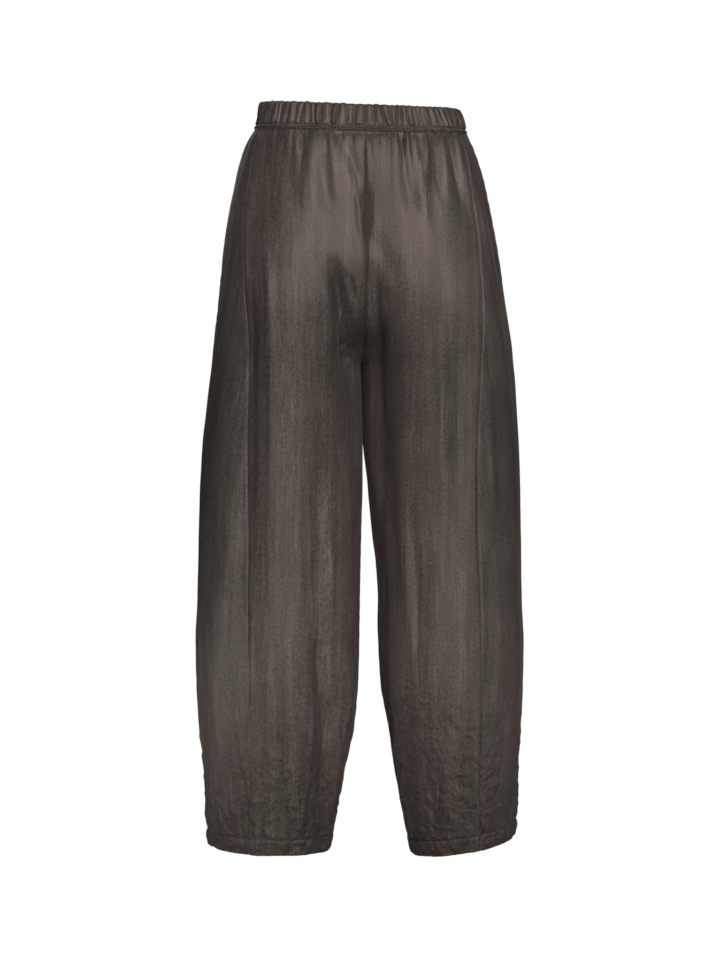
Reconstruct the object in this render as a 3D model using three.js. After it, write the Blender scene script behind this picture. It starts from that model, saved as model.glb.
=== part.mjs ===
// Barrel-leg pull-on trousers, filled out as when worn, with no wearer inside.
// Millimetres. +Z is up, the back of the trousers faces -Y, the wearer's left leg is at -X.
// The origin is the middle of the waist opening, half way up the elastic waistband.
// Each leg is three cut panels (back, side, front); the side panel is narrow at the waist and
// wide at the knee, which gives the leg its barrel shape. All cloth is a thin hollow wall.
import * as THREE from "three";

// Cloth and making-up sizes
const CLOTH = 1.6;
const HEM_CLOTH = 2.5;
const SEAM_GAP = 0.3;
const HALF_GAP = SEAM_GAP / 2;
const BAND_TOP = 16;
const BAND_BOTTOM = -16;
const PANEL_TOP = BAND_BOTTOM - SEAM_GAP;
const CROTCH = -304;
const HEM = -922;
const HEM_DEPTH = 20;

// The worn section of the body and legs at each height. out and in are the distances of the leg's
// outer and inner side from the middle plane, back and front its reach towards -Y and +Y, peak how
// far from in to out the section is deepest. The seams are angles round the outer half of the
// section, 0 at the deepest point of the back and 180 at that of the front.
const COLUMNS = [
  "z", "outLeft", "outRight", "inLeft", "inRight", "back", "front", "peak",
  "backSeamLeft", "backSeamRight", "frontSeam",
];
const SECTIONS = [
  [16, 126, 126, 0, 0, -83, 81, 0.12, 68, 62, 80],
  [-16, 134, 136, 0, 0, -92, 89, 0.14, 68, 62, 80],
  [-24, 140, 140, 0, 0, -97, 93, 0.16, 66, 60, 79],
  [-37, 147, 146, 0, 0, -102, 97, 0.2, 62, 57, 78],
  [-75, 159, 158, 0, 0, -111, 103, 0.29, 57, 49, 77],
  [-138, 172, 171, 0, 0, -123, 108, 0.41, 50, 42, 78],
  [-176, 176, 177, 0, 0, -129, 109, 0.46, 46, 38, 81],
  [-227, 182, 185, 0, 0, -132, 108, 0.49, 42, 33, 92],
  [-284, 188, 194, 0, 0, -128, 106, 0.5, 37, 27, 108],
  [-304, 190, 196, 0, 0, -125, 105, 0.5, 36, 25, 112],
  [-329, 193, 199, -1, 1, -122, 105, 0.5, 34, 23, 118],
  [-406, 201, 203, -3, 4, -113, 105, 0.5, 30, 19, 131],
  [-457, 204, 205, -3, 10, -109, 106, 0.5, 28, 17, 137],
  [-508, 206, 206, -2, 15, -106, 106, 0.5, 26, 16, 142],
  [-611, 209, 209, 0, 23, -102, 105, 0.5, 23, 16, 149],
  [-663, 211, 211, 1, 23, -100, 102, 0.5, 21, 16, 152],
  [-715, 210, 210, 3, 26, -97, 98, 0.5, 20, 17, 154],
  [-767, 207, 207, 8, 36, -93, 92, 0.5, 20, 16, 154],
  [-818, 202, 205, 19, 44, -88, 85, 0.5, 20, 14, 153],
  [-870, 199, 204, 29, 55, -81, 77, 0.5, 21, 12, 152],
  [-922, 195, 200, 38, 65, -74, 70, 0.5, 20, 12, 150],
];

// Roundness of the section: 2 is an ellipse
const FULLNESS = 2.15;
// The centre seam lies in a shallow valley, which deepens down to the crotch
const VALLEY = { depth: 5, from: -30, to: -110, narrowness: 3 };
const RISE_CURVE_TOP = -152;
const RISE_CURVE_POWER = 2.5;
const GRAIN_SETTLES = -400;
// Sag of the waist line at the middle of the back and front, its rise at the sides, and its tilt
const WAIST = { side: 5, back: 5, front: 16, tilt: 2.6, fades: -130 };
// The hem rises towards the outer side of each leg by this much of its width
const HEM_SLOPE = { left: 0.04, right: 0.17, starts: -700 };

// Gathers below the waistband: how many on each panel, their depth and how far down they reach
const GATHERS = { back: 8, side: 4, front: 8, depth: 2.6, shortest: 40, longest: 120 };
const PANELS = ["back", "side", "front"];
// The largest folds. from and to are places across the panel, 0 at its first seam and 1 at its
// second, at the heights top and bottom. A positive depth stands out and a negative one sinks in.
const FOLD_COLUMNS = ["leg", "panel", "from", "to", "top", "bottom", "width", "depth"];
const FOLDS = [
  ["right", "back", 0.7, 0.84, -20, -200, 13, -4.5],
  ["right", "back", 0.82, 0.93, -24, -290, 12, 3.5],
  ["right", "back", 0.44, 0.47, -18, -120, 11, -3.5],
  ["left", "back", 0.83, 0.87, -30, -470, 15, -3],
  ["left", "back", 0.7, 0.77, -150, -640, 14, 2.5],
  ["left", "back", 0.22, 0.3, -230, -420, 22, -5],
  ["right", "back", 0.2, 0.26, -230, -440, 22, -4],
  ["left", "back", 0.84, 0.82, -560, -800, 12, 2.5],
  ["left", "back", 0.2, 0.34, -620, -890, 24, -4.5],
  ["right", "back", 0.2, 0.4, -890, -640, 22, -3.5],
  ["left", "side", 0.35, 0.45, -250, -640, 26, -3],
  ["right", "side", 0.4, 0.5, -230, -600, 26, -3],
  ["left", "front", 0.35, 0.4, -210, -560, 26, -4],
  ["right", "front", 0.4, 0.36, -220, -540, 26, -4],
  ["left", "front", 0.72, 0.66, -240, -430, 20, -5],
  ["right", "front", 0.74, 0.68, -240, -430, 20, -5],
];

// In-seam side pockets: the mouth opens in the seam between side and front panel
const POCKET = { top: -28, bottom: -160, mouth: 3.2, facingCloth: 1.2, facingGap: 0.35 };

// Waistband: casing over elastic, gathered, with a narrow stitched ridge at its foot
const BAND = { gathers: 76, pleat: 2.4, wall: 2.4, ridgeHeight: 5.5, ridge: 1.2 };

// Heights of the mesh rows. The gathered part has twice as many columns as the rest.
const GATHERED_ROWS = [PANEL_TOP, -24, -37, -57, -82];
const PLAIN_ROWS = [
  -108, -138, -164, -188, -212, -236, -256, -274, -289, -299, CROTCH, -329, -366, -410, -460, -512,
  -562, -612, -662, -712, -758, -802, -846, -880, HEM + HEM_DEPTH + 1.5, HEM + HEM_DEPTH - 1.5, HEM,
];
const ROWS = [...GATHERED_ROWS, ...PLAIN_ROWS];
const STEPS = { back: 32, side: 16, front: 32 };

const smooth = (t) => {
  const u = Math.min(1, Math.max(0, t));
  return u * u * (3 - 2 * u);
};
const mix = (a, b, t) => a + (b - a) * t;

// A smooth curve through a table's column that never overshoots its rows
function columnCurve(rows, column) {
  const x = rows.map((r) => -r[0]);
  const y = rows.map((r) => r[column]);
  const slope = x.slice(1).map((v, i) => (y[i + 1] - y[i]) / (v - x[i]));
  const tangent = x.map((v, i) => {
    if (i === 0) return slope[0];
    if (i === x.length - 1) return slope[i - 1];
    if (slope[i - 1] * slope[i] <= 0) return 0;
    return (2 * slope[i - 1] * slope[i]) / (slope[i - 1] + slope[i]);
  });
  return (z) => {
    const at = Math.min(x[x.length - 1], Math.max(x[0], -z));
    let i = 0;
    while (i < x.length - 2 && at > x[i + 1]) i += 1;
    const h = x[i + 1] - x[i];
    const t = (at - x[i]) / h;
    const a = (1 + 2 * t) * (1 - t) ** 2;
    const b = t * (1 - t) ** 2;
    const c = t * t * (3 - 2 * t);
    const d = t * t * (t - 1);
    return a * y[i] + b * h * tangent[i] + c * y[i + 1] + d * h * tangent[i + 1];
  };
}
const curves = Object.fromEntries(COLUMNS.map((name, i) => [name, columnCurve(SECTIONS, i)]));

// The measures of one leg's section at a height. grain is the same section with a softer crotch
// curve, by which the threads of the cloth are spread.
function section(leg, z) {
  const side = leg === "left" ? "Left" : "Right";
  const out = curves[`out${side}`](z);
  const inner = curves[`in${side}`](z);
  const back = curves.back(z);
  const front = curves.front(z);
  const down = Math.max(0, (RISE_CURVE_TOP - z) / (RISE_CURVE_TOP - CROTCH));
  const reach = z <= CROTCH ? 0 : Math.sqrt(1 - down ** RISE_CURVE_POWER);
  const valley = VALLEY.depth * smooth((VALLEY.from - z) / (VALLEY.from - VALLEY.to));
  const softReach = 1 - smooth((RISE_CURVE_TOP - z) / (RISE_CURVE_TOP - GRAIN_SETTLES));
  const shape = { out, inner, back, front, peak: mix(inner, out, curves.peak(z)) };
  const seamBack = 1 + valley / back;
  const seamFront = 1 - valley / front;
  return {
    ...shape,
    seamBack: seamBack * reach,
    seamFront: seamFront * reach,
    grain: { ...shape, seamBack: seamBack * softReach, seamFront: seamFront * softReach },
    seams: [-90, curves[`backSeam${side}`](z), curves.frontSeam(z), 270],
  };
}

// A point of the section, at an angle from -90 at the back's inner end to 270 at the front's
function sectionPoint(s, degrees) {
  const power = 2 / FULLNESS;
  const half = degrees > 90 ? 180 - degrees : degrees;
  const deep = degrees > 90 ? s.front : s.back;
  const a = (Math.abs(half) * Math.PI) / 180;
  const sideways = Math.sin(a) ** power;
  const outwards = Math.max(0, Math.cos(a)) ** power;
  if (half >= 0) return [s.peak + (s.out - s.peak) * sideways, deep * outwards];
  const k = VALLEY.narrowness;
  const seam = (degrees > 90 ? s.seamFront : s.seamBack) ** k;
  return [s.peak - (s.peak - s.inner) * sideways, deep * (seam + (1 - seam) * outwards ** k) ** (1 / k)];
}

// Points of the section between two angles, spread evenly along its grain section
function evenPoints(s, from, to, steps) {
  const fine = steps * 6;
  const lengths = [0];
  let before = sectionPoint(s.grain, from);
  for (let i = 1; i <= fine; i += 1) {
    const point = sectionPoint(s.grain, mix(from, to, i / fine));
    lengths.push(lengths[i - 1] + Math.hypot(point[0] - before[0], point[1] - before[1]));
    before = point;
  }
  const points = [];
  let k = 0;
  for (let i = 0; i <= steps; i += 1) {
    const goal = (lengths[fine] * i) / steps;
    while (k < fine - 1 && lengths[k + 1] < goal) k += 1;
    const t = (goal - lengths[k]) / (lengths[k + 1] - lengths[k] || 1);
    points.push(sectionPoint(s, mix(from, to, (k + t) / fine)));
  }
  return points;
}

// Gathers stand out evenly at the waistband and fade out at uneven lengths
function gatherDepth(leg, panel, across, z) {
  const phase = GATHERS[panel] * (across + 0.02 * Math.sin(3 * Math.PI * across));
  const which = Math.floor(phase) + PANELS.indexOf(panel) * 7 + (leg === "left" ? 3 : 0);
  const uneven = 0.5 + 0.5 * Math.sin(which * 2.4 + 0.6);
  const reach = mix(GATHERS.shortest, GATHERS.longest, uneven);
  const fade = 1 - smooth((PANEL_TOP - z) / reach);
  return GATHERS.depth * (0.6 + 0.4 * uneven) * fade * Math.sin(Math.PI * (phase % 1)) ** 2;
}

function foldDepth(leg, panel, across, z, panelWidth) {
  let depth = 0;
  for (const row of FOLDS) {
    const f = Object.fromEntries(FOLD_COLUMNS.map((name, i) => [name, row[i]]));
    if (f.leg !== leg || f.panel !== panel) continue;
    const t = (z - f.top) / (f.bottom - f.top);
    if (t <= 0 || t >= 1) continue;
    const away = ((across - mix(f.from, f.to, t)) * panelWidth) / f.width;
    depth += f.depth * smooth(t * 4) * smooth((1 - t) * 2.5) * Math.exp(-away * away);
  }
  return depth;
}

// The waist line's sag and tilt, and the hem's slope, move points up or down
function lift(leg, x, y, s, z) {
  const outward = leg === "left" ? -1 : 1;
  const waist = 1 - smooth((BAND_BOTTOM - z) / (BAND_BOTTOM - WAIST.fades));
  const sag = y < 0 ? WAIST.back * (y / s.back) ** 2 : WAIST.front * (y / s.front) ** 2;
  const tilt = (WAIST.tilt * outward * x) / s.out;
  const hem = smooth((HEM_SLOPE.starts - z) / (HEM_SLOPE.starts - HEM));
  return waist * (WAIST.side - sag - tilt) + hem * HEM_SLOPE[leg] * (x - s.peak);
}

// One row of outer cloth points round one leg, from the back's inner end to the front's
function rowOfPoints(leg, z) {
  const s = section(leg, z);
  const outward = leg === "left" ? -1 : 1;
  const row = [];
  PANELS.forEach((panel, k) => {
    const points = evenPoints(s, s.seams[k], s.seams[k + 1], STEPS[panel]);
    const first = k ? 1 : 0;
    let width = 0;
    for (let i = 1; i < points.length; i += 1) {
      width += Math.hypot(points[i][0] - points[i - 1][0], points[i][1] - points[i - 1][1]);
    }
    for (let i = first; i < points.length; i += 1) {
      const before = points[Math.max(0, i - 1)];
      const after = points[Math.min(points.length - 1, i + 1)];
      const long = Math.hypot(after[0] - before[0], after[1] - before[1]);
      const normal = [(after[1] - before[1]) / long, -(after[0] - before[0]) / long];
      const across = i / STEPS[panel];
      const calm = smooth(across * 8) * smooth((1 - across) * 8);
      const stands = gatherDepth(leg, panel, across, z) + calm * foldDepth(leg, panel, across, z, width);
      const x = Math.max(points[i][0] + normal[0] * stands, s.inner) + HALF_GAP;
      const y = points[i][1] + normal[1] * stands;
      row.push(new THREE.Vector3(outward * x, y, z + lift(leg, x, y, s, z)));
    }
  });
  return row;
}

// Outward directions of a grid of points. The back's and front's inner ends meet below the crotch.
function directions(grid, leg) {
  const outward = leg === "left" ? -1 : 1;
  const last = grid[0].length - 1;
  const crotchRow = ROWS.indexOf(CROTCH);
  return grid.map((row, r) =>
    row.map((point, c) => {
      const closed = r >= crotchRow && (c === 0 || c === last);
      const before = closed ? row[c === 0 ? last - 1 : c - 1] : row[Math.max(0, c - 1)];
      const after = closed ? row[c === last ? 1 : c + 1] : row[Math.min(last, c + 1)];
      const above = grid[Math.max(0, r - 1)][c];
      const below = grid[Math.min(grid.length - 1, r + 1)][c];
      const across = new THREE.Vector3().subVectors(after, before);
      const down = new THREE.Vector3().subVectors(below, above);
      return down.cross(across).multiplyScalar(outward).normalize();
    }),
  );
}

const LEGS = Object.fromEntries(
  ["left", "right"].map((leg) => {
    const grid = ROWS.map((z) => rowOfPoints(leg, z));
    return [leg, { grid, normals: directions(grid, leg) }];
  }),
);
const FIRST = { back: 0, side: STEPS.back, front: STEPS.back + STEPS.side };

// A closed wall from rows of outer points and rows of inner points. A row may have half as many
// steps as the row above it.
function wallMesh(name, outer, inner, mirrored, material) {
  const positions = [];
  const index = [];
  const place = (rows) => rows.map((row) => row.map((p) => positions.push(p.x, p.y, p.z) / 3 - 1));
  const triangle = (a, b, c, flipped) => (flipped ? index.push(a, c, b) : index.push(a, b, c));
  const skin = (ids, flipped) => {
    for (let r = 0; r < ids.length - 1; r += 1) {
      const [up, low] = [ids[r], ids[r + 1]];
      const halved = up.length > low.length;
      for (let c = 0; c < low.length - 1; c += 1) {
        if (halved) {
          triangle(up[2 * c], low[c], up[2 * c + 1], flipped);
          triangle(up[2 * c + 1], low[c], low[c + 1], flipped);
          triangle(up[2 * c + 1], low[c + 1], up[2 * c + 2], flipped);
        } else {
          triangle(up[c], low[c], up[c + 1], flipped);
          triangle(up[c + 1], low[c], low[c + 1], flipped);
        }
      }
    }
  };
  const rim = (a, b, flipped) => {
    for (let i = 0; i < a.length - 1; i += 1) {
      triangle(a[i], a[i + 1], b[i], flipped);
      triangle(a[i + 1], b[i + 1], b[i], flipped);
    }
  };
  const out = place(outer);
  const ins = place(inner);
  const end = out.length - 1;
  skin(out, mirrored);
  skin(ins, !mirrored);
  rim(out[0], ins[0], mirrored);
  rim(out[end], ins[end], !mirrored);
  rim(out.map((r) => r[0]), ins.map((r) => r[0]), !mirrored);
  rim(out.map((r) => r[r.length - 1]), ins.map((r) => r[r.length - 1]), mirrored);
  const geometry = new THREE.BufferGeometry();
  geometry.setAttribute("position", new THREE.Float32BufferAttribute(positions, 3));
  geometry.setIndex(index);
  geometry.computeVertexNormals();
  const mesh = new THREE.Mesh(geometry, material);
  mesh.name = name;
  return mesh;
}

// How far a panel's edge stays back from its seam: wider along the pocket mouth
function setBack(panel, isFirst, z) {
  const atPocket = (panel === "side" && !isFirst) || (panel === "front" && isFirst);
  const t = (z - POCKET.top) / (POCKET.bottom - POCKET.top);
  const open = atPocket && t > 0 && t < 1 ? Math.sin(Math.PI * t) : 0;
  return HALF_GAP + (open * POCKET.mouth) / 2;
}

function panelMesh(leg, panel, material) {
  const { grid, normals } = LEGS[leg];
  const outer = [];
  const inner = [];
  ROWS.forEach((z, r) => {
    const step = r < GATHERED_ROWS.length ? 1 : 2;
    const thick = mix(CLOTH, HEM_CLOTH, smooth((HEM + HEM_DEPTH + 3 - z) / 3));
    const first = FIRST[panel];
    const last = first + STEPS[panel];
    const rowOut = [];
    const rowIn = [];
    for (let c = first; c <= last; c += step) {
      const point = grid[r][c].clone();
      if (c === first || c === last) {
        const next = grid[r][c === first ? c + 1 : c - 1];
        const inside = new THREE.Vector3().subVectors(next, point).normalize();
        point.addScaledVector(inside, setBack(panel, c === first, z));
      }
      rowOut.push(point);
      rowIn.push(point.clone().addScaledVector(normals[r][c], -thick));
    }
    outer.push(rowOut);
    inner.push(rowIn);
  });
  return wallMesh(`${panel}_${leg}`, outer, inner, leg === "left", material);
}

// A strip of cloth that lies behind the pocket mouth, made from the panels' own points
function pocketFacingMesh(leg, material) {
  const { grid, normals } = LEGS[leg];
  const seam = FIRST.front;
  const outer = [];
  const inner = [];
  ROWS.forEach((z, r) => {
    if (z > POCKET.top + 6 || z < POCKET.bottom - 6) return;
    const step = r < GATHERED_ROWS.length ? 1 : 2;
    const rowOut = [];
    const rowIn = [];
    for (let c = seam - 2; c <= seam + 2; c += step) {
      const point = grid[r][c].clone().addScaledVector(normals[r][c], -CLOTH - POCKET.facingGap);
      rowOut.push(point);
      rowIn.push(point.clone().addScaledVector(normals[r][c], -POCKET.facingCloth));
    }
    outer.push(rowOut);
    inner.push(rowIn);
  });
  return wallMesh(`pocket_facing_${leg}`, outer, inner, leg === "left", material);
}

// The band's outer face as height, how far it stands out where flat, and how deep its pleats are
const bandGroove = BAND_BOTTOM + BAND.ridgeHeight;
const BAND_PROFILE = [
  [BAND_BOTTOM, 0, 0.3],
  [BAND_BOTTOM + BAND.ridgeHeight / 2, BAND.ridge, 0.35],
  [bandGroove, -0.4, 0.15],
  [bandGroove + 3.5, 0.2, 0.9],
  [BAND_TOP - 6, 0.3, 1],
  [BAND_TOP, -1.4, 0.6],
];

function waistbandMesh(material) {
  const perLeg = (BAND.gathers / 2) * 4;
  const ring = (z, stands, pleat) => {
    const points = [];
    for (const leg of ["right", "left"]) {
      const s = section(leg, z);
      const outward = leg === "left" ? -1 : 1;
      const round = evenPoints(s, -90, 270, perLeg);
      const made = round.slice(0, perLeg).map((_, i) => {
        const k = leg === "left" ? perLeg - i : i;
        const slant = 0.35 * Math.sin(i * 0.9 + 1.3);
        const [a, b] = [round[Math.max(0, k - 1)], round[Math.min(perLeg, k + 1)]];
        const long = Math.hypot(b[0] - a[0], b[1] - a[1]);
        const normal = [(b[1] - a[1]) / long, -(b[0] - a[0]) / long];
        const crest = [0, 0.7, 1, 0.7][i % 4];
        const uneven = 0.75 + 0.25 * Math.sin(Math.floor(i / 4) * 2.1 + (leg === "left" ? 1 : 0));
        const out = stands - BAND.pleat * pleat * (1 - crest * uneven);
        const tangent = [-normal[1] * slant, normal[0] * slant];
        const x = Math.max(0, round[k][0] + normal[0] * out + tangent[0] * pleat);
        const y = round[k][1] + normal[1] * out + tangent[1] * pleat;
        const flatX = k === 0 || k === perLeg ? 0 : x;
        return new THREE.Vector3(outward * flatX, y, z + lift(leg, flatX, y, s, z));
      });
      points.push(...made);
    }
    return points;
  };
  const loops = BAND_PROFILE.map(([z, stands, pleat]) => ring(z, stands, pleat));
  const inside = -BAND.pleat - BAND.wall;
  loops.push(ring(BAND_TOP, inside, 0), ring(BAND_BOTTOM, inside, 0));
  const count = loops[0].length;
  const positions = loops.flat().flatMap((p) => [p.x, p.y, p.z]);
  const index = [];
  loops.forEach((_, r) => {
    const low = r * count;
    const high = ((r + 1) % loops.length) * count;
    for (let c = 0; c < count; c += 1) {
      const next = (c + 1) % count;
      index.push(low + c, low + next, high + c, low + next, high + next, high + c);
    }
  });
  const geometry = new THREE.BufferGeometry();
  geometry.setAttribute("position", new THREE.Float32BufferAttribute(positions, 3));
  geometry.setIndex(index);
  geometry.computeVertexNormals();
  const mesh = new THREE.Mesh(geometry, material);
  mesh.name = "waistband";
  return mesh;
}

const satin = new THREE.MeshStandardMaterial({ color: 0x574e48, roughness: 0.55, metalness: 0 });
const facingCloth = new THREE.MeshStandardMaterial({ color: 0x3a3430, roughness: 0.75, metalness: 0 });

const trousers = new THREE.Group();
trousers.name = "barrel_leg_trousers";
trousers.add(waistbandMesh(satin.clone()));
for (const leg of ["left", "right"]) {
  for (const panel of PANELS) trousers.add(panelMesh(leg, panel, satin.clone()));
  trousers.add(pocketFacingMesh(leg, facingCloth.clone()));
}

export default trousers;
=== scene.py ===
# Barrel-leg pull-on trousers in dark taupe satin, filled out as when worn, with nobody inside.
# Lengths in the tables are millimetres in the part's own frame: +Z up, the back faces -Y, and the
# origin is the middle of the waist. Meshes are made in metres.
import math

import bpy
import numpy as np
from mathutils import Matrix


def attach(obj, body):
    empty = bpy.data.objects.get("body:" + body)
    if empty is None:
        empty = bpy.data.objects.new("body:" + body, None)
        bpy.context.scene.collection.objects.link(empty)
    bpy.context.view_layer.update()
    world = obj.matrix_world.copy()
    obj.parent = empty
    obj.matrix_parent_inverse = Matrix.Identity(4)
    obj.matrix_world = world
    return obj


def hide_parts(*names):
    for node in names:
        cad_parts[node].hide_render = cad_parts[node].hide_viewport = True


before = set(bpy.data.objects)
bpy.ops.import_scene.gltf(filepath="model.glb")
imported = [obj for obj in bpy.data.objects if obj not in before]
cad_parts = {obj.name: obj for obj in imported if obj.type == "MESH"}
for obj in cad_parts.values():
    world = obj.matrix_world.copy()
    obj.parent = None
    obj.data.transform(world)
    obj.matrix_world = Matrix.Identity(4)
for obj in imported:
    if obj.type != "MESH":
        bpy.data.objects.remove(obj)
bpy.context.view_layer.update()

# Camera
# It looks at the back of the trousers from a little above their middle and slightly from the left,
# three metres away through a long lens, as a shop's photographer would.
CAMERA_DISTANCE = 3.0
CAMERA_AZIMUTH = math.radians(-4.0)
CAMERA_ELEVATION = math.radians(3.0)
CAMERA_AIM = (0.0, 0.0, -0.453)
LENS_LENGTH = 87.8
SENSOR_WIDTH = 36.0


def place_object(name, data):
    """A new object of the scene."""
    thing = bpy.data.objects.new(name, data)
    bpy.context.scene.collection.objects.link(thing)
    return thing


lens = bpy.data.cameras.new("camera")
lens.lens = LENS_LENGTH
lens.sensor_width = SENSOR_WIDTH
camera = place_object("camera", lens)
camera.location = (
    CAMERA_AIM[0] + CAMERA_DISTANCE * math.cos(CAMERA_ELEVATION) * math.sin(CAMERA_AZIMUTH),
    CAMERA_AIM[1] - CAMERA_DISTANCE * math.cos(CAMERA_ELEVATION) * math.cos(CAMERA_AZIMUTH),
    CAMERA_AIM[2] + CAMERA_DISTANCE * math.sin(CAMERA_ELEVATION),
)
camera.rotation_euler = (math.pi / 2 - CAMERA_ELEVATION, 0.0, CAMERA_AZIMUTH)
bpy.context.scene.camera = camera

# Studio light and floor
# A large soft lamp above and to the right of the camera lights the back. Weak lamps fill the sides,
# the waist and the legs' middle, and a large one behind lights the hidden front. The pale floor
# curves up behind, and it and the surround look white to the camera but throw little light.
LIGHTS = (
    # name, place, what it points at, size, watts, spread in degrees
    ("key", (0.55, -3.3, 0.85), (0.0, 0.0, -0.45), 1.8, 54.0, 180),
    ("low", (0.0, -1.35, -1.05), (0.0, 0.0, -0.52), 0.4, 0.19, 25),
    ("left", (-2.8, -0.3, -0.7), (-0.2, 0.0, -0.7), 0.9, 0.30, 60),
    ("left_low", (-2.6, -1.3, -0.8), (-0.2, 0.0, -0.76), 0.2, 0.12, 10),
    ("left_high", (-2.4, -1.9, 0.1), (-0.2, 0.0, -0.13), 0.2, 0.06, 8),
    ("right", (2.8, -0.3, 0.2), (0.2, 0.0, -0.1), 0.9, 0.35, 80),
    ("right_low", (2.6, -1.3, -0.7), (0.2, 0.0, -0.72), 0.2, 0.05, 10),
    ("right_high", (2.4, -1.9, 0.1), (0.2, 0.0, -0.14), 0.2, 0.06, 8),
    ("top", (0.3, -2.2, 1.6), (0.0, 0.0, 0.0), 0.8, 3.0, 60),
    ("behind", (-0.3, 3.2, 1.0), (0.0, 0.0, -0.45), 2.0, 42.0, 180),
)
FLOOR_HEIGHT = -1.3
FLOOR_SIZE = 7.0
WALL_RADIUS = 1.2
FLOOR_GREY = (0.25, 0.25, 0.25, 1.0)
SURROUND_STRENGTH = 0.03
WHITE = (1.0, 1.0, 1.0, 1.0)


def add_light(name, place, aim, size, watts, spread):
    light = bpy.data.lights.new(name, "AREA")
    light.shape = "DISK"
    light.size = size
    light.energy = watts
    light.spread = math.radians(spread)
    holder = place_object(name, light)
    holder.location = place
    towards = np.array(aim) - np.array(place)
    flat = math.hypot(towards[0], towards[1])
    holder.rotation_euler = (math.atan2(flat, -towards[2]), 0.0, math.atan2(-towards[0], towards[1]))


for row in LIGHTS:
    add_light(*row)


def new_material(name):
    """A material with its node tree and its main shader."""
    material = bpy.data.materials.new(name)
    material.use_nodes = True
    return material, material.node_tree, material.node_tree.nodes["Principled BSDF"]


def white_to_camera(tree, plain, white, output):
    """The camera sees the white shader, and light meets the plain one."""
    seen = tree.nodes.new("ShaderNodeLightPath")
    both = tree.nodes.new("ShaderNodeMixShader")
    tree.links.new(seen.outputs["Is Camera Ray"], both.inputs[0])
    tree.links.new(plain.outputs[0], both.inputs[1])
    tree.links.new(white.outputs[0], both.inputs[2])
    tree.links.new(both.outputs[0], tree.nodes[output].inputs["Surface"])


def floor_paint():
    """Matt paint that the camera sees as plain white."""
    paint, tree, shader = new_material("floor_paint")
    shader.inputs["Base Color"].default_value = FLOOR_GREY
    shader.inputs["Roughness"].default_value = 0.9
    white_to_camera(tree, shader, tree.nodes.new("ShaderNodeEmission"), "Material Output")
    return paint


def add_floor():
    """A level floor that curves up into a wall."""
    profile = [(-FLOOR_SIZE, FLOOR_HEIGHT), (FLOOR_SIZE - WALL_RADIUS, FLOOR_HEIGHT)]
    for turn in np.linspace(0, math.pi / 2, 16)[1:]:
        profile.append((
            FLOOR_SIZE - WALL_RADIUS + WALL_RADIUS * math.sin(turn),
            FLOOR_HEIGHT + WALL_RADIUS * (1 - math.cos(turn)),
        ))
    profile.append((FLOOR_SIZE, FLOOR_HEIGHT + FLOOR_SIZE))
    corners = [(side * FLOOR_SIZE, y, z) for y, z in profile for side in (-1, 1)]
    faces = [(2 * i, 2 * i + 1, 2 * i + 3, 2 * i + 2) for i in range(len(profile) - 1)]
    mesh = bpy.data.meshes.new("floor")
    mesh.from_pydata(corners, [], faces)
    for face in mesh.polygons:
        face.use_smooth = True
    mesh.materials.append(floor_paint())
    return place_object("floor", mesh)


add_floor()
world = bpy.data.worlds.new("studio")
bpy.context.scene.world = world
world.use_nodes = True
surround = world.node_tree.nodes["Background"]
surround.inputs["Color"].default_value = WHITE
surround.inputs["Strength"].default_value = SURROUND_STRENGTH
backdrop = world.node_tree.nodes.new("ShaderNodeBackground")
backdrop.inputs["Color"].default_value = WHITE
white_to_camera(world.node_tree, surround, backdrop, "World Output")
bpy.context.scene.view_settings.view_transform = "Standard"

# Leg panels
# Each leg is cut as a back, a side and a front panel of satin, sewn edge to edge. The side panel is
# narrow at the waist and wide at the knee, which gives the barrel shape. The tops are gathered into
# the waistband, and the hems are turned up inside and sewn down with one row of stitches.
SECTION_COLUMNS = (
    "z", "outLeft", "outRight", "inLeft", "inRight", "back", "front", "peak",
    "backSeamLeft", "backSeamRight", "frontSeam",
)
SECTIONS = np.array([
    [16, 126, 126, 0, 0, -83, 81, 0.12, 68, 62, 80],
    [-16, 134, 136, 0, 0, -92, 89, 0.14, 68, 62, 80],
    [-24, 140, 140, 0, 0, -97, 93, 0.16, 66, 60, 79],
    [-37, 147, 146, 0, 0, -102, 97, 0.2, 62, 57, 78],
    [-75, 159, 158, 0, 0, -111, 103, 0.29, 57, 49, 77],
    [-138, 172, 171, 0, 0, -123, 108, 0.41, 50, 42, 78],
    [-176, 176, 177, 0, 0, -129, 109, 0.46, 46, 38, 81],
    [-227, 182, 185, 0, 0, -132, 108, 0.49, 42, 33, 92],
    [-284, 188, 194, 0, 0, -128, 106, 0.5, 37, 27, 108],
    [-304, 190, 196, 0, 0, -125, 105, 0.5, 36, 25, 112],
    [-329, 193, 199, -1, 1, -122, 105, 0.5, 34, 23, 118],
    [-406, 201, 203, -3, 4, -113, 105, 0.5, 30, 19, 131],
    [-457, 204, 205, -3, 10, -109, 106, 0.5, 28, 17, 137],
    [-508, 206, 206, -2, 15, -106, 106, 0.5, 26, 16, 142],
    [-611, 209, 209, 0, 23, -102, 105, 0.5, 23, 16, 149],
    [-663, 211, 211, 1, 23, -100, 102, 0.5, 21, 16, 152],
    [-715, 210, 210, 3, 26, -97, 98, 0.5, 20, 17, 154],
    [-767, 207, 207, 8, 36, -93, 92, 0.5, 20, 16, 154],
    [-818, 202, 205, 19, 44, -88, 85, 0.5, 20, 14, 153],
    [-870, 199, 204, 29, 55, -81, 77, 0.5, 21, 12, 152],
    [-922, 195, 200, 38, 65, -74, 70, 0.5, 20, 12, 150],
], dtype=float)
FULLNESS = 2.15
VALLEY_DEPTH = 5.0
VALLEY_FROM = -30.0
VALLEY_TO = -110.0
VALLEY_NARROWNESS = 3.0
RISE_CURVE_TOP = -152.0
RISE_CURVE_POWER = 2.5
GRAIN_SETTLES = -400.0
CROTCH = -304.0
BAND_BOTTOM = -16.0
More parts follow.
